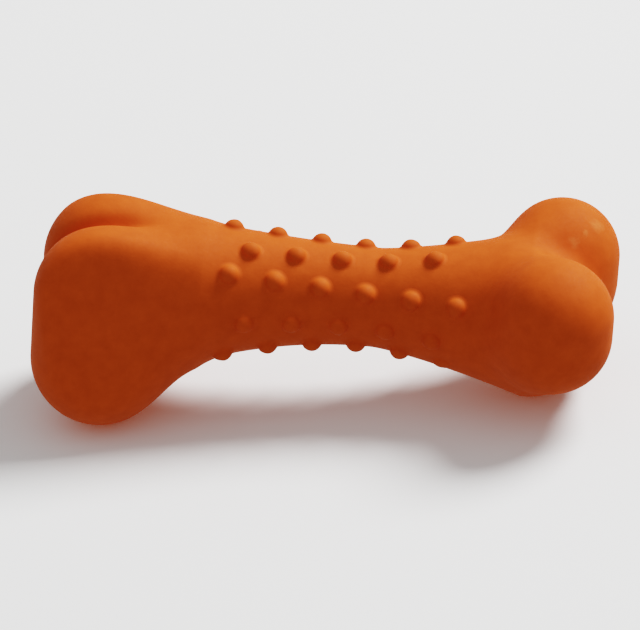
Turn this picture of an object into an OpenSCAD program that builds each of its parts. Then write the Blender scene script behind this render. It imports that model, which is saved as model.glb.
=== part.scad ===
// Rubber dog bone with nubs. Two moulded halves are bonded along the middle plane,
// round a squeaker that sits in a socket in the end face of the left knobs.
// The shape is worked out as one smooth field: a flared shaft, blended into two knobs
// at each end, with a crease between them. Its skin is found along rays from inside.

/* [Shaft] */
// Radius of the shaft at its waist
waist_r = 13.4; // [12:0.1:16]
// From the waist to the centre of the shaft's left round end
left_core = 46.6; // [42:0.2:50]
// From the waist to the centre of the shaft's right round end
right_core = 41; // [36:0.5:45]
// How much wider than the waist the left round end is
left_flare = 5.5; // [3:0.1:7]
// How much wider than the waist the right round end is
right_flare = 8.7; // [5:0.1:10]
// How far the left round end sags below the waist
left_sag = 3.3; // [1:0.1:4]
// How far the right round end sags below the waist
right_sag = 0.6; // [0:0.1:2]
// How late the left side flares: 1 is a cone, 2 is an arc
left_power = 2; // [1.6:0.1:2.4]
// How late the right side flares
right_power = 1.3; // [1.2:0.1:1.7]

/* [Left knobs] */
// From the waist to the knobs' centres
left_x = 72.8; // [70:0.2:78]
// From the middle plane to each knob's centre
left_y = 10.8; // [8:0.2:13]
// How far the knobs hang below the shaft's axis
left_drop = 11; // [8:0.2:13]
// Half the straight height of each knob
left_half_h = 9.4; // [7:0.2:12]
// Radius of each knob
left_r = 18.6; // [16.4:0.2:20.6]
// Reach of the blend from knob to shaft
left_blend = 19.4; // [15:0.2:26]

/* [Right knobs] */
// From the waist to the knobs' centres
right_x = 48.4; // [45:0.2:53]
// From the middle plane to each knob's centre
right_y = 18; // [14:0.2:20]
// How far the knobs sit above the shaft's axis
right_lift = 6.3; // [4:0.1:9]
// Half the straight height of each knob
right_half_h = 2.7; // [1:0.1:5]
// Radius of each knob
right_r = 15.6; // [13.6:0.2:17]
// Reach of the blend from knob to shaft
right_blend = 9.4; // [8:0.2:18]

/* [Crease] */
// Reach of the blend at the bottom of the crease between two knobs
crease = 2.4; // [1:0.2:4]

/* [Nubs] */
// Radius of each nub's dome
nub_r = 2.7; // [2.4:0.1:3.2]
// How far each nub stands out of the shaft
nub_h = 2.2; // [1.5:0.1:2.3]
// Spacing of the nubs along a row
nub_pitch = 12.1; // [10:0.1:12.6]
// Nubs in a long row; the rows between them have one fewer
nub_count = 6; // [4:1:6]
// Middle of the rows, measured from the waist
nub_shift = -9.4; // [-11:0.2:-7]
// Turn from one row to the next, in degrees; the underside stays bare
row_turn = 39; // [37:0.5:40]

/* [Wall] */
// Thickness of the rubber wall
wall = 6.5; // [5.5:0.1:7.5]
// Width of the tongue that locates the halves
tongue_w = 2; // [1.4:0.1:2.4]
// Height of the tongue
tongue_h = 1.2; // [0.8:0.1:1.6]
// Play between tongue and groove
tongue_gap = 0.1; // [0.05:0.01:0.15]

/* [Squeaker] */
// Outer radius of the squeaker's barrel
barrel_r = 6; // [5.5:0.1:6.5]
// Length of the barrel behind its flange
barrel_len = 15; // [14:0.5:17]
// Radius of the flange
flange_r = 8; // [7.5:0.1:8.5]
// Thickness of the flange
flange_t = 1.6; // [1.4:0.1:2]
// Wall of the barrel
barrel_wall = 1.3; // [1:0.1:1.5]
// Height of the barbs that grip the rubber
barb_h = 0.25; // [0.15:0.01:0.28]
// Play between barrel and rubber
grip_gap = 0.3; // [0.3:0.01:0.4]
// Length of the rubber socket round the barrel
socket_len = 12; // [10:0.5:13]
// Wall of the rubber socket
socket_wall = 3; // [2:0.1:3.5]
// Radius of the perforated cover
cap_r = 5.6; // [5.2:0.1:6]
// Thickness of the perforated cover
cap_t = 1.1; // [0.8:0.1:1.2]
// Radius of the holes in the cover
hole_r = 0.6; // [0.4:0.05:0.8]
// Length of the whistle block
block_len = 9; // [8.4:0.1:10]
// Play round the inner pieces
seat_gap = 0.1; // [0.05:0.01:0.12]

/* [Reed] */
// Length of the reed
reed_len = 7.8; // [7:0.1:8]
// Width of the reed
reed_w = 3.2; // [2.8:0.1:3.6]
// Thickness of the reed
reed_t = 0.3; // [0.25:0.05:0.35]
// Play above and below the reed's root
reed_gap = 0.12; // [0.12:0.01:0.2]
// Depth of the chamber that the reed swings in
chamber_h = 1.6; // [1.2:0.1:2]
// Width of the air channel under the reed
channel_w = 2.2; // [1.8:0.1:2.4]
// Depth of the air channel under the reed
channel_h = 1.6; // [1:0.1:2]

/* [Hidden] */

rubber = [0.83, 0.42, 0.15];
fine = 48;
overrun = 1;

// Rings along the skin: over each rounded end, and along the shaft between them
cap_rings = 12;
shaft_rings = 36;
rings = 2 * cap_rings + shaft_rings;
// Strips round half a ring, outside and inside
outer_strips = 28;
inner_strips = 14;
halvings = 17;

// Rays start at a point that slides from inside the left knobs to inside the right ones
hub_share = 0.4;
left_hub = [-left_x + hub_share * left_r, 0, -left_drop];
right_hub = [right_x - hub_share * right_r, 0, right_lift * hub_share];
reach_max = left_x;

nub_rows = 8;
first_turn = 90 - row_turn * (nub_rows - 1) / 2;

// Squeaker seat: the flange lies level with the bottom of the crease
crease_x = left_x + sqrt(left_r * left_r - left_y * left_y);
seat_x = -crease_x + flange_t;
bore_r = barrel_r + grip_gap;
socket_r = bore_r + socket_wall;
barrel_bore_r = barrel_r - barrel_wall;
lip_r = barrel_bore_r - 0.7 * barrel_wall;
lip_t = 0.8 * barrel_wall;
barb_pitch = barrel_len / 4;
barb_len = 4 * barb_h;
edge_round = flange_t / 4;
block_z = lip_t - barrel_len;
block_r = barrel_bore_r - seat_gap;
table_x = -reed_t / 2 - reed_gap;
slot_h = reed_t + 2 * reed_gap;
slot_w = reed_w + 4 * seat_gap;
root_len = block_len / 4;
root_inset = seat_gap + reed_gap;
pivot_z = block_z + 0.8 * root_len;

// Quadratic blend of two distances, over the reach k
function blend(a, b, k) =
    let (h = max(k - abs(a - b), 0) / k)
    min(a, b) - h * h * k / 4;

// Height of the shaft's arched axis: nought at the waist, falling to both round ends
function axis_z(x) =
    x < 0 ? -left_sag * pow(-x / left_core, 2)
          : -right_sag * pow(x / right_core, 2);

// Distance to the flared shaft with its round ends
function core(p) =
    let (x = min(max(p.x, -left_core), right_core))
    let (flare = x < 0 ? left_flare * pow(-x / left_core, left_power)
                       : right_flare * pow(x / right_core, right_power))
    norm([p.x - x, p.y, p.z - axis_z(x)]) - waist_r - flare + crease / 4;

// Distance to one knob, an upright capsule
function knob(p, c, half_h, r) =
    norm([p.x - c.x, p.y - c.y, max(abs(p.z - c.z) - half_h, 0)]) - r;

// The shaft with the two knobs on one side of the middle plane
function limb(p, side) =
    let (left = knob(p, [-left_x, side * left_y, -left_drop], left_half_h, left_r))
    let (right = knob(p, [right_x, side * right_y, right_lift], right_half_h, right_r))
    blend(blend(core(p), left, left_blend), right, right_blend);

function field(p) = blend(limb(p, -1), limb(p, 1), crease);

// How far along a ray the field reaches the given depth under the skin, by halving
function reach(o, d, depth, near = 0, far = reach_max, n = halvings) =
    let (mid = (near + far) / 2)
    n == 0 ? mid
    : field(o + mid * d) > -depth ? reach(o, d, depth, near, mid, n - 1)
    : reach(o, d, depth, mid, far, n - 1);

// The ray fan of one ring: where it starts, and how much it leans along the bone
function ring_hub(i) =
    let (s = min(max((i - cap_rings) / shaft_rings, 0), 1))
    left_hub + s * (right_hub - left_hub);
function ring_lean(i) =
    i < cap_rings ? 90 * (i - cap_rings) / cap_rings
    : i > rings - cap_rings ? 90 * (i - rings + cap_rings) / cap_rings
    : 0;

// A point under the skin on ring i, at turn v: 0 is straight up, 90 front, 180 down
function spot(i, v, depth) =
    let (lean = ring_lean(i))
    let (d = [sin(lean), -cos(lean) * sin(v), cos(lean) * cos(v)])
    let (o = ring_hub(i))
    o + d * reach(o, d, depth);

// Half a skin as a list of points: one pole, the rings between, the other pole
function half_skin(strips, depth) = [
    spot(0, 0, depth),
    for (i = [1 : rings - 1], j = [0 : strips]) spot(i, 180 * j / strips, depth),
    spot(rings, 0, depth)
];
function skin_at(i, j, strips) =
    i == 0 ? 0
    : i == rings ? (rings - 1) * (strips + 1) + 1
    : (i - 1) * (strips + 1) + j + 1;

// The rim runs along the top of the half from pole to pole and back along the bottom
rim_steps = 2 * rings;
function rim_ring(k) = k <= rings ? k : rim_steps - k;
function rim_curve(depth, h) = [
    for (k = [0 : rim_steps - 1])
        let (p = spot(rim_ring(k), k <= rings ? 0 : 180, depth))
        [p.x, h, p.z]
];
function rim_at(k, strips) =
    let (w = (k + rim_steps) % rim_steps)
    skin_at(rim_ring(w), w <= rings ? 0 : strips, strips);

// Two triangles for each quad, without those that shrink to a line at a pole
function quad(a, b, c, d) = [
    if (a != b && b != c && c != a) [a, c, b],
    if (a != c && c != d && d != a) [a, d, c]
];
function flat_once(lists) = [for (l = lists) for (f = l) f];

// One half of the wall, front side. The rim carries a step of the given height and width:
// a tongue where it is above nought, a groove where it is below.
module half_wall(step_h, step_w) {
    mid = wall / 2;
    near = mid - step_w / 2;
    far = mid + step_w / 2;
    outer = half_skin(outer_strips, 0);
    inner = half_skin(inner_strips, wall);
    curves = [rim_curve(near, 0), rim_curve(near, step_h), rim_curve(far, step_h), rim_curve(far, 0)];
    inner_from = len(outer);
    curves_from = inner_from + len(inner);
    rows = 5;
    // Point number on rim row r, step k: row 0 is the outer skin, row 5 the inner skin
    function rim_no(r, k) =
        r == 0 ? rim_at(k, outer_strips)
        : r == rows ? inner_from + rim_at(k, inner_strips)
        : curves_from + (r - 1) * rim_steps + (k + rim_steps) % rim_steps;
    outer_faces = flat_once([
        for (i = [0 : rings - 1], j = [0 : outer_strips - 1])
            quad(skin_at(i, j, outer_strips), skin_at(i, j + 1, outer_strips),
                skin_at(i + 1, j + 1, outer_strips), skin_at(i + 1, j, outer_strips))
    ]);
    inner_faces = flat_once([
        for (i = [0 : rings - 1], j = [0 : inner_strips - 1])
            quad(inner_from + skin_at(i, j, inner_strips), inner_from + skin_at(i + 1, j, inner_strips),
                inner_from + skin_at(i + 1, j + 1, inner_strips), inner_from + skin_at(i, j + 1, inner_strips))
    ]);
    rim_faces = flat_once([
        for (r = [0 : rows - 1], k = [0 : rim_steps - 1])
            quad(rim_no(r, k), rim_no(r, k + 1), rim_no(r + 1, k + 1), rim_no(r + 1, k))
    ]);
    polyhedron(concat(outer, inner, curves[0], curves[1], curves[2], curves[3]),
        concat(outer_faces, inner_faces, rim_faces), convexity = 10);
}

// The nubs of one side, in rows spread evenly about the top of the shaft. Every other row
// is one nub shorter and sits half a pitch along.
module nubs(side) {
    for (row = [0 : nub_rows - 1]) {
        turn = first_turn + row * row_turn;
        count = nub_count - row % 2;
        if (side * cos(turn) > 0)
            for (i = [0 : count - 1]) {
                x = nub_shift + (i - (count - 1) / 2) * nub_pitch;
                d = [0, -cos(turn), sin(turn)];
                r = reach([x, 0, 0], d, 0) + nub_h - nub_r;
                translate([x, 0, 0] + r * d)
                    sphere(nub_r, $fn = fine / 2);
            }
    }
}

// Lays its children out along the squeaker's axis: Z points out of the end face
module on_seat() {
    translate([seat_x, 0, -left_drop])
        rotate([0, -90, 0])
            children();
}

// The side of the middle plane that a half doesn't fill, over the squeaker
module other_side(side, r) {
    w = 2 * (left_r + overrun);
    translate([-r - overrun, side > 0 ? 0 : -w, -barrel_len - wall])
        cube([2 * (r + overrun), w, w + barrel_len]);
}

module shell(side) {
    difference() {
        union() {
            if (side > 0) half_wall(tongue_h, tongue_w);
            else mirror([0, 1, 0]) half_wall(-tongue_h - tongue_gap, tongue_w + 2 * tongue_gap);
            nubs(side);
            on_seat() difference() {
                translate([0, 0, -socket_len])
                    cylinder(h = socket_len, r = socket_r, $fn = fine);
                other_side(side, socket_r);
            }
        }
        on_seat() {
            translate([0, 0, -barrel_len - wall])
                cylinder(h = barrel_len + 2 * wall, r = bore_r, $fn = fine);
            cylinder(h = 2 * wall, r = flange_r + grip_gap, $fn = fine);
            // The tongue stops short of the other half's socket
            intersection() {
                translate([0, 0, -socket_len - tongue_w])
                    cylinder(h = socket_len + tongue_w + overrun, r = socket_r + tongue_gap, $fn = fine);
                other_side(side, socket_r);
            }
        }
    }
}

// The bone lies on its left knobs and its right ones, so it leans. The lean is found by
// halving, between the two ends' lowest points, and then the lowest of all is set at 0.
front_skin = half_skin(outer_strips, 0);
left_skin = [for (p = front_skin) if (p.x < 0) p];
right_skin = [for (p = front_skin) if (p.x > 0) p];
function low(points, lean) = min([for (p = points) p.z * cos(lean) - p.x * sin(lean)]);
function level(near = 0, far = 45, n = halvings) =
    let (mid = (near + far) / 2)
    n == 0 ? mid
    : low(left_skin, mid) > low(right_skin, mid) ? level(near, mid, n - 1)
    : level(mid, far, n - 1);
lean = level();
along = [for (p = front_skin) p.x * cos(lean) + p.z * sin(lean)];

module at_rest() {
    translate([-(min(along) + max(along)) / 2, 0, -low(front_skin, lean)])
        rotate([0, lean, 0])
            children();
}

module front_shell() {
    color(rubber) at_rest() shell(1);
}

module back_shell() {
    color(rubber) at_rest() shell(-1);
}

// Flanged barrel with barbs outside, a seat for the cover in front and a lip behind
module squeaker_housing() {
    color("ivory") at_rest() on_seat()
        rotate_extrude($fn = fine)
            polygon([
                [lip_r, -barrel_len],
                [barrel_r, -barrel_len],
                for (n = [1 : 2])
                    each [
                        [barrel_r, -n * barb_pitch - barb_len],
                        [barrel_r + barb_h, -n * barb_pitch],
                        [barrel_r, -n * barb_pitch]
                    ],
                [barrel_r, 0],
                [flange_r, 0],
                [flange_r, flange_t - edge_round],
                [flange_r - edge_round, flange_t],
                [cap_r + seat_gap, flange_t],
                [cap_r + seat_gap, flange_t - cap_t],
                [barrel_bore_r, flange_t - cap_t],
                [barrel_bore_r, block_z],
                [lip_r, block_z]
            ]);
}

// Round cover with a ring of holes round a middle one
module squeaker_cap() {
    ring_r = barrel_bore_r * 0.6;
    color("ivory") at_rest() on_seat()
        translate([0, 0, flange_t - cap_t])
            difference() {
                cylinder(h = cap_t, r = cap_r, $fn = fine);
                for (n = [0 : 6])
                    rotate([0, 0, 60 * n])
                        translate([n == 0 ? 0 : ring_r, 0, -overrun])
                            cylinder(h = cap_t + 2 * overrun, r = hole_r, $fn = fine / 2);
            }
}

// Half a round block along the squeaker's axis, on one side of the reed's table
module half_block(above) {
    intersection() {
        translate([0, 0, block_z])
            cylinder(h = block_len, r = block_r, $fn = fine);
        translate([above ? table_x : table_x - 2 * block_r, -block_r, block_z])
            cube([2 * block_r, 2 * block_r, block_len]);
    }
}

// A box centred on the squeaker's middle plane, upwards from x
module bar(x, h, w, z, len) {
    translate([x, -w / 2, z])
        cube([h, w, len]);
}

// Lower half of the whistle block: a table with the air channel, open to the inside
module reed_block() {
    color("white") at_rest() on_seat()
        difference() {
            half_block(false);
            bar(table_x - channel_h, channel_h + overrun, channel_w,
                block_z - overrun, block_len - root_len / 2 + overrun);
        }
}

// Upper half: a slot that holds the reed's root, and the chamber in front of it
module reed_clamp() {
    color("white") at_rest() on_seat()
        difference() {
            half_block(true);
            bar(table_x - overrun, slot_h + overrun, slot_w, block_z + seat_gap, block_len);
            bar(table_x - overrun, slot_h + chamber_h + overrun, slot_w,
                block_z + root_len, block_len);
        }
}

// Thin strip, held at its root near the lip
module reed() {
    color("goldenrod") at_rest() on_seat()
        bar(-reed_t / 2, reed_t, reed_w, block_z + root_inset, reed_len);
}

front_shell();
back_shell();
squeaker_housing();
squeaker_cap();
reed_block();
reed_clamp();
reed();
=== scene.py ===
import math

import bmesh
import bpy
import numpy as np
from mathutils import Matrix, Vector


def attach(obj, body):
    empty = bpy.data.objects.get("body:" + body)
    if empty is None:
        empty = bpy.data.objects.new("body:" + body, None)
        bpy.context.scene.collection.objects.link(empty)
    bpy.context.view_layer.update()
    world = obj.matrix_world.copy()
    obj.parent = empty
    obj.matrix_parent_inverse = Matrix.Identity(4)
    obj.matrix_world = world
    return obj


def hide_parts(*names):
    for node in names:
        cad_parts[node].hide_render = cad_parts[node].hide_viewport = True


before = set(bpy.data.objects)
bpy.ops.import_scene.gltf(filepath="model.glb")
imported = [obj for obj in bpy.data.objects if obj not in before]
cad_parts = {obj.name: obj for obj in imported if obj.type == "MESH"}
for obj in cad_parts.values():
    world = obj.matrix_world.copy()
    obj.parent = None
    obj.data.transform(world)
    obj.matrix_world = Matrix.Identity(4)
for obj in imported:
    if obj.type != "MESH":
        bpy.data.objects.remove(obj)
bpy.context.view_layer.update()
print("stage 1: frame loaded")

# A rubber dog bone. Its shape is worked out in millimetres from the middle of the shaft's waist,
# with +X towards the small raised knobs and the parting plane at y = 0, then laid on the floor.
mm = 0.001

boneShape = {
    "waistRadius": 13.4,
    "leftCore": 46.6,  # from the waist to the centre of the shaft's left round end
    "rightCore": 41.0,
    "leftFlare": 5.5,  # how much wider than the waist that round end is
    "rightFlare": 8.7,
    "leftSag": 3.3,  # how far it sags below the waist
    "rightSag": 0.6,
    "leftPower": 2.0,  # how late the shaft flares: 1 is a cone, 2 is an arc
    "rightPower": 1.3,
    "crease": 2.4,  # reach of the blend between the two halves
    "leftKnob": {"x": -72.8, "y": 10.8, "z": -11.0, "halfHeight": 9.4, "radius": 18.6, "blend": 19.4},
    "rightKnob": {"x": 48.4, "y": 18.0, "z": 6.3, "halfHeight": 2.7, "radius": 15.6, "blend": 9.4},
}

# Flat outer face of a tall knob: it tilts in with height and leans in towards the neck, and
# past runOutX it runs out of the skin
leftFace = {
    "tilt": 18.0,
    "y": 16.2,
    "z": 15.3,
    "lean": 0.085,
    "runOut": 0.022,
    "runOutX": -44.0,
    "reach": 4.0,
}

# Dips between the two knobs of an end: the x and z at which each starts, and where it is full
leftValley = {
    "depth": 1.9,
    "width": 2.7,
    "fromX": -57.0,
    "toX": -71.0,
    "fromZ": 0.0,
    "toZ": 9.0,
}
rightValley = {
    "depth": 3.2,
    "width": 6.5,
    "fromX": 33.0,
    "toX": 50.0,
    "fromZ": -15.0,
    "toZ": 2.0,
}

# How the bone lies, as the part's source works it out: it leans onto its tall knobs and its
# right end
layDown = {"leanDegrees": 8.12319, "shiftX": 14.39315, "shiftZ": 28.448}

# The skin is found along rays, by halving
rays = {"longest": 75.0, "halvings": 34}

skinGrid = {
    "columns": 120,
    "endRows": 60,
    "shaftRows": 170,
    "edgeCrowding": 0.12,  # how much closer the columns lie at the parting plane
    "wall": 6.5,
    "hubShare": 0.4,  # how far in from a knob's centre the rays start, as a share of its radius
}

# The squeaker's socket, in the end face of the tall knobs
socket = {
    "flange": 1.6,
    "mouthRadius": 8.3,
    "boreRadius": 6.3,
    "bossRadius": 9.3,
    "length": 12.0,
    "edgeRound": 0.7,
    "edgeSteps": 6,
}

# Rows of nubs are numbered from the lowest one in front, over the top, to the back
nubs = {
    "rows": 8,
    "rowTurn": 39.0,
    "longRow": 6,  # nubs in a long row; the rows between have one fewer
    "pitch": 12.1,
    "shift": -9.4,
    "radius": 2.7,
    "height": 2.2,
    "footRound": 1.4,
    # how a row departs from an even one: degrees turned, more degrees for each nub towards the
    # right, millimetres along, and millimetres added to the pitch
    "uneven": {
        0: (0.0, 1.2, -0.67, -0.4),
        1: (-3.5, 0.0, 0.4, 0.4),
        2: (-0.9, -2.2, 0.75, 0.1),
        3: (0.0, 2.36, -0.3, 0.15),
        4: (0.0, 0.0, -0.6, -0.2),
        5: (4.5, 0.0, 0.0, 0.0),
    },
    "wornNub": (0, 5),  # the row, and the nub's place in it from the left
    "wornShare": 0.4,
    "domeRings": 18,
    "footRings": 7,
    "spokes": 32,
    # under the skin: (outwards from the foot, height) of two rings, and the depth of the middle
    "skirt": ((0.1, -0.04), (-0.4, -0.5)),
    "rootDepth": 0.8,
    "pullHaste": 1.5,  # above 1, a nub lies fully on the curved skin before its last ring
}

meshing = {"mergeWithin": 1e-7, "tinyEdge": 1e-8, "sharpDegrees": 50.0}


def smoothBlend(a, b, reach):
    # the smaller distance, less a parabola of the overlap h: min(a, b) - h * h * reach / 4
    h = np.maximum(reach - np.abs(a - b), 0.0) / reach
    return np.minimum(a, b) - h * h * reach / 4.0


def easedIn(value, start, full):
    # a share that rises from 0 at start to 1 at full, with level ends: t * t * (3 - 2 * t)
    t = np.clip((value - start) / (full - start), 0, 1)
    return t * t * (3 - 2 * t)


def shaftDistance(p):
    # distance to an arched axis that sags with the square of the share of the way to its end,
    # less the waist's radius and a flare that grows with a power of that share
    s = boneShape
    x = np.clip(p[..., 0], -s["leftCore"], s["rightCore"])
    share = np.where(x < 0, -x / s["leftCore"], x / s["rightCore"])
    height = -np.where(x < 0, s["leftSag"], s["rightSag"]) * share ** 2
    leftFlare = s["leftFlare"] * share ** s["leftPower"]
    rightFlare = s["rightFlare"] * share ** s["rightPower"]
    away = np.sqrt((p[..., 0] - x) ** 2 + p[..., 1] ** 2 + (p[..., 2] - height) ** 2)
    return away - s["waistRadius"] - np.where(x < 0, leftFlare, rightFlare) + s["crease"] / 4.0


def knobDistance(p, knob, side):
    # distance to an upright capsule: to a vertical segment, less the radius
    dz = np.maximum(np.abs(p[..., 2] - knob["z"]) - knob["halfHeight"], 0.0)
    dx = p[..., 0] - knob["x"]
    dy = p[..., 1] - side * knob["y"]
    return np.sqrt(dx * dx + dy * dy + dz * dz) - knob["radius"]


def flatFaced(d, p, side):
    # the larger of a knob's distance and that of a leaning plane, rounded where they meet
    f = leftFace
    tilt = math.radians(f["tilt"])
    leanIn = f["lean"] * (p[..., 0] - boneShape["leftKnob"]["x"])
    runOut = f["runOut"] * np.maximum(p[..., 0] - f["runOutX"], 0) ** 2
    outwards = side * p[..., 1] - (f["y"] - leanIn + runOut)
    plane = outwards * math.cos(tilt) + (p[..., 2] - f["z"]) * math.sin(tilt)
    return -smoothBlend(-d, -plane, f["reach"])


def limbDistance(p, side):
    # shaft and tall knob blended, the knob's face cut flat, then the small knob blended on
    left, right = boneShape["leftKnob"], boneShape["rightKnob"]
    d = smoothBlend(shaftDistance(p), knobDistance(p, left, side), left["blend"])
    d = flatFaced(d, p, side)
    return smoothBlend(d, knobDistance(p, right, side), right["blend"])


def valleyDepth(p, v):
    # a bell across the bone, times two shares that ease in with height and towards the end
    share = easedIn(p[..., 2], v["fromZ"], v["toZ"]) * easedIn(p[..., 0], v["fromX"], v["toX"])
    return v["depth"] * share * np.exp(-(p[..., 1] / v["width"]) ** 2)


def boneDistance(p):
    # the two mirror limbs meet last, over a short reach, which leaves the crease between knobs
    d = smoothBlend(limbDistance(p, -1), limbDistance(p, 1), boneShape["crease"])
    return d + valleyDepth(p, leftValley) + valleyDepth(p, rightValley)


def castRays(start, direction, depth=0.0):
    # halve, again and again, the stretch of each ray that holds the skin or the level under it
    near = np.zeros(direction.shape[:-1])
    far = np.full(direction.shape[:-1], rays["longest"])
    for _ in range(rays["halvings"]):
        middle = (near + far) / 2.0
        outside = boneDistance(start + middle[..., None] * direction) > -depth
        far = np.where(outside, middle, far)
        near = np.where(outside, near, middle)
    return start + near[..., None] * direction


def acrossBone(v):
    # unit vectors across the bone: v = 0 is straight up, a quarter turn is to the front
    return np.stack([np.zeros_like(v), -np.sin(v), np.cos(v)], -1)


def columnAngles():
    # even steps of t over half a turn, drawn together at both ends by a sine
    t = np.linspace(0.0, 1.0, skinGrid["columns"] + 1)
    return math.pi * (t - skinGrid["edgeCrowding"] * np.sin(2 * math.pi * t))


def rayHubs():
    # two points that rays start from: inside the tall knobs, and inside the small ones, where
    # the height is a share of the knobs' too
    left, right, share = boneShape["leftKnob"], boneShape["rightKnob"], skinGrid["hubShare"]
    leftHub = np.array([left["x"] + share * left["radius"], 0.0, left["z"]])
    rightHub = np.array([right["x"] - share * right["radius"], 0.0, share * right["z"]])
    return leftHub, rightHub


def skinRows(depth, startRadius):
    # rows from the right pole along the bone to a circle of startRadius round the socket's
    # axis; each ray leaves a hub that slides along the bone, and fans out over both ends
    v = columnAngles()
    across = acrossBone(v)[None]
    along = np.array([1.0, 0.0, 0.0])
    leftHub, rightHub = rayHubs()
    n, m = skinGrid["endRows"], skinGrid["shaftRows"]

    lean = np.linspace(math.pi / 2, 0, n + 1)[:-1, None, None]
    rightEnd = castRays(rightHub, np.sin(lean) * along + np.cos(lean) * across, depth)

    share = np.linspace(1, 0, m + 1)[:-1, None, None]
    hub = np.broadcast_to(leftHub + share * (rightHub - leftHub), (m, len(v), 3))
    shaft = castRays(hub, np.broadcast_to(across, (m, len(v), 3)), depth)

    rim = leftHub + startRadius * across[0]
    mouth = castRays(rim, np.broadcast_to(-along, (len(v), 3)), depth)
    last = np.arctan2(leftHub[0] - mouth[:, 0], startRadius)[None, :, None]
    lean = np.linspace(0, 1, n + 1)[:, None, None] * last
    leftEnd = castRays(leftHub, -np.sin(lean) * along + np.cos(lean) * across, depth)
    return np.concatenate([rightEnd, shaft, leftEnd])


def socketRows(lip, innerLip):
    # profile of the squeaker's socket: a rounded lip, the mouth's wall, its floor, the bore,
    # the boss's end and its outside, each (x, radius) pair carried round the socket's axis
    v = columnAngles()
    s = socket
    knob = boneShape["leftKnob"]
    rows = []
    for k in np.linspace(0, math.pi / 2, s["edgeSteps"] + 1)[1:]:
        x = lip + s["edgeRound"] * (1 - math.cos(k))
        rows.append((x, s["mouthRadius"] + s["edgeRound"] * (1 - math.sin(k))))
    # the squeaker's flange lies level with the bottom of the crease between the tall knobs' ends
    creaseX = knob["x"] - math.sqrt(knob["radius"] ** 2 - knob["y"] ** 2)
    seat = np.full_like(lip, creaseX + s["flange"])
    end = seat + s["length"]
    rows.append(((rows[-1][0] + seat) / 2, s["mouthRadius"]))
    corners = [
        (seat, s["mouthRadius"]),
        (seat, s["boreRadius"]),
        (end, s["boreRadius"]),
        (end, s["bossRadius"]),
        (innerLip, s["bossRadius"]),
    ]
    for (x, r), (nextX, nextR) in zip(corners[:-1], corners[1:]):
        rows.append((x, r))
        rows.append(((x + nextX) / 2, (r + nextR) / 2))
    x = np.stack([np.broadcast_to(x, v.shape) for x, _ in rows])
    r = np.array([r for _, r in rows])[:, None]
    return np.stack([x, -r * np.sin(v), knob["z"] + r * np.cos(v)], -1)


def laidDown(p):
    # turn about Y by the lean, then shift onto the floor, and change millimetres to metres
    a = math.radians(layDown["leanDegrees"])
    x = p[..., 0] * math.cos(a) + p[..., 2] * math.sin(a) + layDown["shiftX"]
    z = p[..., 2] * math.cos(a) - p[..., 0] * math.sin(a) + layDown["shiftZ"]
    return np.stack([x, p[..., 1], z], -1) * mm


def halfWall(side):
    # one closed moulded half: outer skin, socket and inner skin as one sheet, and the flat
    # rim at the parting plane, which is the sheet's first and its last column
    outer = skinRows(0.0, socket["mouthRadius"] + socket["edgeRound"])
    inner = skinRows(skinGrid["wall"], socket["bossRadius"])[::-1]
    sheet = np.concatenate([outer, socketRows(outer[-1, :, 0], inner[0, :, 0]), inner])
    sheet[:, [0, -1], 1] = 0.0
    sheet[..., 1] *= side
    rows, columns = sheet.shape[:2]
    number = np.arange(rows * columns).reshape(rows, columns)
    quads = np.stack([number[:-1, :-1], number[:-1, 1:], number[1:, 1:], number[1:, :-1]], -1)
    rims = [number[:, 0].tolist(), number[::-1, -1].tolist()]
    return sheet.reshape(-1, 3), quads.reshape(-1, 4).tolist() + rims


def nubProfile():
    # (radius, height): a dome from its top to a hollow foot that runs out into the skin, then
    # a skirt that closes the nub under the skin
    n = nubs
    sink = n["radius"] - n["height"]
    foot = math.sqrt((n["radius"] + n["footRound"]) ** 2 - (n["footRound"] + sink) ** 2)
    turn = math.atan2(foot, n["footRound"] + sink)
    a = np.linspace(0, turn, n["domeRings"])
    dome = np.stack([n["radius"] * np.sin(a), n["radius"] * np.cos(a) - sink], -1)
    b = np.linspace(turn, 0, n["footRings"] + 1)[1:]
    hollow = np.stack([foot - n["footRound"] * np.sin(b), n["footRound"] * (1 - np.cos(b))], -1)
    skirt = np.array([(foot + out, height) for out, height in n["skirt"]] + [(0.0, -n["rootDepth"])])
    return np.concatenate([dome, hollow, skirt])


def nubPlaces(side):
    # (x, turn in radians, share of the full height) of each nub of one half. A turn of 0 is to
    # the front and 90 degrees is up. The rows are spread evenly about the top, but for what
    # their unevenness adds.
    n = nubs
    for row in range(n["rows"]):
        turnedBy, turnedPerNub, movedBy, pitchAdded = n["uneven"].get(row, (0.0, 0.0, 0.0, 0.0))
        rowTurn = 90 + (row - (n["rows"] - 1) / 2) * n["rowTurn"] + turnedBy
        if side * math.cos(math.radians(rowTurn)) > 0:
            continue
        count = n["longRow"] - row % 2
        for k in range(count):
            step = k - (count - 1) / 2
            share = n["wornShare"] if (row, k) == n["wornNub"] else 1.0
            x = n["shift"] + movedBy + step * (n["pitch"] + pitchAdded)
            yield x, math.radians(rowTurn + step * turnedPerNub), share


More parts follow.
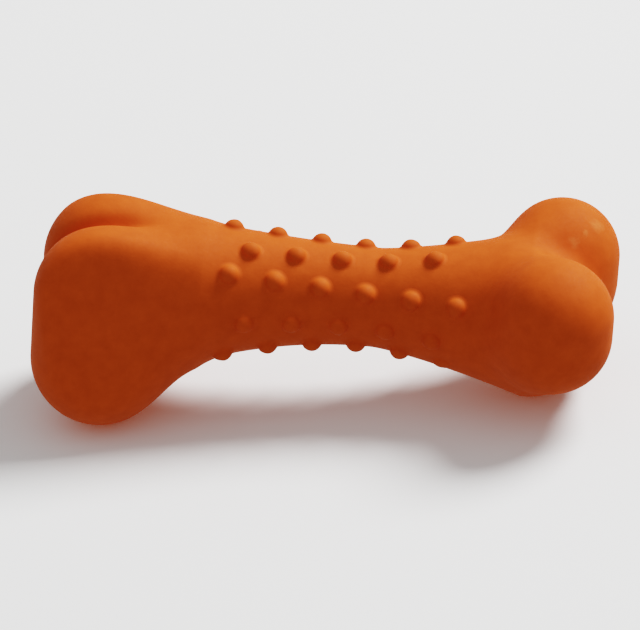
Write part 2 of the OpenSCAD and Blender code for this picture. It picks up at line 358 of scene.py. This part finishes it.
def nubField(side):
    # every nub of one half: the profile is turned about the ray through its middle, and pulled
    # from a flat tangent plane onto the shaft's curved skin towards its foot
    n = nubs
    profile = nubProfile()
    spin = np.linspace(0, 2 * math.pi, n["spokes"], endpoint=False)
    u = profile[:, 0, None] * np.cos(spin)
    w = profile[:, 0, None] * np.sin(spin)
    fullHeight = np.broadcast_to(profile[:, 1, None], u.shape)
    pull = np.clip(np.linspace(0, 1, len(profile)) * n["pullHaste"], 0, 1)[:, None, None]
    number = np.arange(u.size).reshape(u.shape)
    following = np.roll(number, -1, axis=1)
    quads = np.stack([number[:-1], number[1:], following[1:], following[:-1]], -1).reshape(-1, 4)
    points, faces = [], []
    for x, turn, share in nubPlaces(side):
        up = np.array([0.0, -math.cos(turn), math.sin(turn)])
        over = np.array([0.0, math.sin(turn), math.cos(turn)])
        h = fullHeight * share
        centre = castRays(np.array([x, 0.0, 0.0]), up[None])[0]
        flat = centre + u[..., None] * np.array([1.0, 0, 0]) + w[..., None] * over
        aim = up + (w / (centre @ up))[..., None] * over
        aim = aim / np.linalg.norm(aim, axis=-1, keepdims=True)
        start = np.zeros(u.shape + (3,))
        start[..., 0] = x + u
        dome = flat + h[..., None] * up
        draped = castRays(start, aim) + h[..., None] * aim
        faces.append(quads + u.size * len(points))
        points.append((dome + pull * (draped - dome)).reshape(-1, 3))
    return np.concatenate(points), np.concatenate(faces).tolist()


def putTogether(name, parts):
    # joins (points, faces) pairs into one mesh, merges poles, and turns the faces outwards
    points, faces, first = [], [], 0
    for p, f in parts:
        points.append(laidDown(p))
        faces += [[i + first for i in face] for face in f]
        first += len(p)
    mesh = bpy.data.meshes.new(name)
    mesh.from_pydata(np.concatenate(points).tolist(), [], faces)
    work = bmesh.new()
    work.from_mesh(mesh)
    bmesh.ops.remove_doubles(work, verts=work.verts, dist=meshing["mergeWithin"])
    bmesh.ops.dissolve_degenerate(work, edges=work.edges, dist=meshing["tinyEdge"])
    bmesh.ops.recalc_face_normals(work, faces=work.faces)
    work.to_mesh(mesh)
    work.free()
    mesh.polygons.foreach_set("use_smooth", np.ones(len(mesh.polygons), bool))
    mesh.set_sharp_from_angle(angle=math.radians(meshing["sharpDegrees"]))
    piece = bpy.data.objects.new(name, mesh)
    bpy.context.scene.collection.objects.link(piece)
    return piece


def newMaterial(name):
    # gives the material, its shader, Object coordinates, and a way to add nodes and links
    material = bpy.data.materials.new(name)
    material.use_nodes = True
    nodes, links = material.node_tree.nodes, material.node_tree.links
    shader = nodes["Principled BSDF"]
    place = nodes.new("ShaderNodeTexCoord")

    def add(kind, inputs=(), **settings):
        node = nodes.new(kind)
        for key, value in settings.items():
            setattr(node, key, value)
        for key, value in dict(inputs).items():
            if isinstance(value, bpy.types.NodeSocket):
                links.new(value, node.inputs[key])
            else:
                node.inputs[key].default_value = value
        return node

    def mix(share, first, second):
        # a Mix node takes its two colours on sockets 6 and 7, and gives the mixed one on socket 2
        return add("ShaderNodeMix", {"Factor": share, 6: first, 7: second}, data_type="RGBA").outputs[2]

    return material, shader, place.outputs["Object"], add, mix, links


# A noise's Scale is in cells for each metre, and depths and places are in metres
rubberLook = {
    "deep": (0.54, 0.086, 0.012, 1.0),
    "light": (0.61, 0.101, 0.016, 1.0),
    "mottle": {"Scale": 260.0, "Detail": 4.0, "Roughness": 0.6},
    "grain": {"Scale": 1500.0, "Detail": 3.0, "Roughness": 0.6},
    "uneven": {"Scale": 260.0, "Detail": 2.0, "Roughness": 0.5},
    "noiseSpan": {"From Min": 0.3, "From Max": 0.7},  # the part of its range that a noise fills
    "roughness": {"To Min": 0.66, "To Max": 0.78},
    "unevenBump": {"Distance": 0.00012, "Strength": 0.6},
    "grainBump": {"Distance": 0.00004, "Strength": 0.8},
    "specular": 0.12,
    # a few worn spots on one knob are painted paler: the rubber's wear, and a painted sheen that stands
    # in for its shine
    "wearSheenColour": (0.70, 0.19, 0.06, 1.0),
    "wearSheenShare": 0.8,
    "wearSheenRag": 0.006,
    "wearSheenCore": 0.2,  # share of a spot's reach over which it is at its full strength
    "wearSheenSpots": (
        ((0.068, 0.007, 0.040), 0.0022),
        ((0.071, 0.009, 0.041), 0.0014),
        ((0.074, 0.0135, 0.041), 0.0026),
    ),
}


def mouldedRubber():
    # colour = deep to light by a slow mottle, then paler in a few worn spots on one knob, where a painted
    # sheen stands in for their shine; each a share that falls with distance times noise; bump = fine
    # grain + slow unevenness
    look = rubberLook
    material, shader, place, add, mix, links = newMaterial("mouldedOrangeRubber")
    mottle = add("ShaderNodeTexNoise", {"Vector": place, **look["mottle"]})
    grain = add("ShaderNodeTexNoise", {"Vector": place, **look["grain"]})
    uneven = add("ShaderNodeTexNoise", {"Vector": place, **look["uneven"]})
    share = add("ShaderNodeMapRange", {"Value": mottle.outputs["Fac"], **look["noiseSpan"]})
    colour = mix(share.outputs["Result"], look["deep"], look["light"])

    # the mottle's colour, 0.5 on average, makes the spots' outlines ragged
    rag = (look["wearSheenRag"],) * 3
    ragged = add(
        "ShaderNodeVectorMath",
        {0: mottle.outputs["Color"], 1: rag, 2: place},
        operation="MULTIPLY_ADD",
    )
    # painted sheen on worn spots: each spot mixes in the paler colour, by a share that falls with
    # distance times grain noise
    for centre, reach in look["wearSheenSpots"]:
        middle = tuple(c + 0.5 * r for c, r in zip(centre, rag))
        away = add("ShaderNodeVectorMath", {0: ragged.outputs["Vector"], 1: middle}, operation="DISTANCE")
        fade = {"From Min": reach, "From Max": look["wearSheenCore"] * reach, "To Max": look["wearSheenShare"]}
        near = add("ShaderNodeMapRange", {"Value": away.outputs["Value"], **fade})
        wearAndSheen = add(
            "ShaderNodeMath",
            {0: near.outputs["Result"], 1: grain.outputs["Fac"]},
            operation="MULTIPLY",
        )
        colour = mix(wearAndSheen.outputs["Value"], colour, look["wearSheenColour"])
    links.new(colour, shader.inputs["Base Color"])

    rough = add(
        "ShaderNodeMapRange",
        {"Value": grain.outputs["Fac"], **look["noiseSpan"], **look["roughness"]},
    )
    links.new(rough.outputs["Result"], shader.inputs["Roughness"])
    slow = add("ShaderNodeBump", {"Height": uneven.outputs["Fac"], **look["unevenBump"]})
    fine = add(
        "ShaderNodeBump",
        {"Height": grain.outputs["Fac"], "Normal": slow.outputs["Normal"], **look["grainBump"]},
    )
    links.new(fine.outputs["Normal"], shader.inputs["Normal"])
    shader.inputs["Specular IOR Level"].default_value = look["specular"]
    return material


plasticLook = {
    "ivory": (0.76, 0.72, 0.62, 1.0),
    "white": (0.8, 0.8, 0.79, 1.0),
    "darkShare": 0.9,
    "cloud": {"Scale": 220.0, "Detail": 3.0},
    "grain": {"Scale": 5000.0, "Detail": 2.0},
    "bump": {"Distance": 0.00001, "Strength": 0.5},
    "roughness": 0.42,
}


def mouldedPlastic(name, tint):
    # a pale plastic: a faint slow tint change and a very fine bump
    look = plasticLook
    material, shader, place, add, mix, links = newMaterial(name)
    cloud = add("ShaderNodeTexNoise", {"Vector": place, **look["cloud"]})
    dark = tuple(look["darkShare"] * c for c in tint[:3]) + (1.0,)
    links.new(mix(cloud.outputs["Fac"], dark, tint), shader.inputs["Base Color"])
    grain = add("ShaderNodeTexNoise", {"Vector": place, **look["grain"]})
    bump = add("ShaderNodeBump", {"Height": grain.outputs["Fac"], **look["bump"]})
    links.new(bump.outputs["Normal"], shader.inputs["Normal"])
    shader.inputs["Roughness"].default_value = look["roughness"]
    return material


brassLook = {
    "colour": (0.74, 0.52, 0.2, 1.0),
    "rollingMarks": (120.0, 4000.0, 4000.0),  # marks for each metre, fewest along the strip
    "markDetail": 3.0,
    "roughness": {"To Min": 0.22, "To Max": 0.4},
}


def rolledBrass():
    # brass strip: a noise stretched along the strip gives its rolling marks
    look = brassLook
    material, shader, place, add, _, links = newMaterial("rolledBrass")
    stretch = add("ShaderNodeMapping", {"Vector": place, "Scale": look["rollingMarks"]})
    marks = add(
        "ShaderNodeTexNoise",
        {"Vector": stretch.outputs["Vector"], "Scale": 1.0, "Detail": look["markDetail"]},
    )
    rough = add("ShaderNodeMapRange", {"Value": marks.outputs["Fac"], **look["roughness"]})
    links.new(rough.outputs["Result"], shader.inputs["Roughness"])
    shader.inputs["Base Color"].default_value = look["colour"]
    shader.inputs["Metallic"].default_value = 1.0
    return material


def dress(node, material):
    # gives a CAD node its material
    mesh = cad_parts[node].data
    mesh.materials.clear()
    mesh.materials.append(material)


rubber = mouldedRubber()
for name, side, node in (("frontRubber", 1, "front_shell"), ("backRubber", -1, "back_shell")):
    piece = putTogether(name, [halfWall(side), nubField(-side)])
    piece.data.materials.append(rubber)
    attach(piece, "bone")
    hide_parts(node)
print("stage 2: rubber halves made")

ivory = mouldedPlastic("ivoryPlastic", plasticLook["ivory"])
white = mouldedPlastic("whitePlastic", plasticLook["white"])
dress("squeaker_housing", ivory)
dress("squeaker_cap", ivory)
dress("reed_block", white)
dress("reed_clamp", white)
dress("reed", rolledBrass())
print("stage 3: squeaker dressed")

# The camera's place was fitted to the bone in its own millimetres, then laid down with it.
# Angles are in radians.
view = {
    "yaw": 0.052,
    "pitch": 0.494,
    "roll": 0.074,
    "distance": 1552.0,
    "pixelsPerMm": 3.719,
    "target": (-5.06, 0.0, 0.0),
    "pixelsRight": 37.9,  # from the middle of the picture to the target
    "pixelsUp": 19.5,
    "pictureWidth": 640.0,
    "sensorWidth": 36.0,
    "clip": (0.05, 20.0),
}


def addCamera():
    # it looks along -back at the target's distance, and stands aside by the target's pixels
    v = view
    a, e, roll = v["yaw"], v["pitch"], v["roll"]
    right = np.array([math.cos(a), math.sin(a), 0.0])
    back = np.array([math.sin(a) * math.cos(e), -math.cos(a) * math.cos(e), math.sin(e)])
    up = np.cross(back, right)
    c, s = math.cos(roll), math.sin(roll)
    right, up = c * right + s * up, c * up - s * right
    aside = (v["pixelsRight"] * right + v["pixelsUp"] * up) / v["pixelsPerMm"]
    place = laidDown(np.array(v["target"]) + v["distance"] * back - aside)
    axes = [(laidDown(k) - laidDown(np.zeros(3))) / mm for k in (right, up, back)]
    camera = bpy.data.cameras.new("camera")
    camera.sensor_fit = "HORIZONTAL"
    camera.sensor_width = v["sensorWidth"]
    camera.lens = v["sensorWidth"] * v["pixelsPerMm"] * v["distance"] / v["pictureWidth"]
    camera.clip_start, camera.clip_end = v["clip"]
    holder = bpy.data.objects.new("camera", camera)
    turn = Matrix([[axis[k] for axis in axes] for k in range(3)]).to_4x4()
    holder.matrix_world = Matrix.Translation(Vector(place)) @ turn
    bpy.context.scene.collection.objects.link(holder)
    bpy.context.scene.camera = holder


studio = {
    "keyPlace": (1.3, 1.14, 1.84),
    "keySize": 1.25,
    "keyWatts": 93.0,
    "keyAim": (0.0, 0.0, 0.02),
    "surroundings": 0.42,
    "surroundingsColour": (1.0, 1.0, 1.0, 1.0),
    "floorHalf": 3.0,
    "floorColour": (0.97, 0.97, 0.965, 1.0),
    "floorDullShare": 0.985,
    "floorCloud": {"Scale": 6.0, "Detail": 2.0},
    "floorRoughness": 0.8,
    "floorSpecular": 0.2,
    "viewTransform": "Filmic",
    "contrast": "High Contrast",
}


def addKeyLight():
    # a round soft light, above and behind on the right, aimed at the middle of the bone
    light = bpy.data.lights.new("key", "AREA")
    light.shape = "DISK"
    light.size = studio["keySize"]
    light.energy = studio["keyWatts"]
    holder = bpy.data.objects.new("key", light)
    holder.location = studio["keyPlace"]
    aim = Vector(studio["keyAim"]) - Vector(studio["keyPlace"])
    holder.rotation_euler = aim.to_track_quat("-Z", "Y").to_euler()
    bpy.context.scene.collection.objects.link(holder)


def addFloor():
    # a flat square with a faint slow change of tone
    mesh = bpy.data.meshes.new("floor")
    half = studio["floorHalf"]
    corners = [(-half, -half, 0), (half, -half, 0), (half, half, 0), (-half, half, 0)]
    mesh.from_pydata(corners, [], [(0, 1, 2, 3)])
    floor = bpy.data.objects.new("floor", mesh)
    material, shader, place, add, mix, links = newMaterial("paleFloor")
    cloud = add("ShaderNodeTexNoise", {"Vector": place, **studio["floorCloud"]})
    pale = studio["floorColour"]
    dull = tuple(studio["floorDullShare"] * c for c in pale[:3]) + (1.0,)
    links.new(mix(cloud.outputs["Fac"], dull, pale), shader.inputs["Base Color"])
    shader.inputs["Roughness"].default_value = studio["floorRoughness"]
    shader.inputs["Specular IOR Level"].default_value = studio["floorSpecular"]
    mesh.materials.append(material)
    bpy.context.scene.collection.objects.link(floor)
    floor.visible_diffuse = False  # so that no bright floor lights the bone from below


def addWorld():
    # even light from all round, and the tone of the picture
    world = bpy.data.worlds.new("studio")
    world.use_nodes = True
    background = world.node_tree.nodes["Background"]
    background.inputs["Color"].default_value = studio["surroundingsColour"]
    background.inputs["Strength"].default_value = studio["surroundings"]
    bpy.context.scene.world = world
    bpy.context.scene.view_settings.view_transform = studio["viewTransform"]
    bpy.context.scene.view_settings.look = studio["contrast"]


addCamera()
addFloor()
addKeyLight()
addWorld()
print("stage 4: floor, light and camera placed")
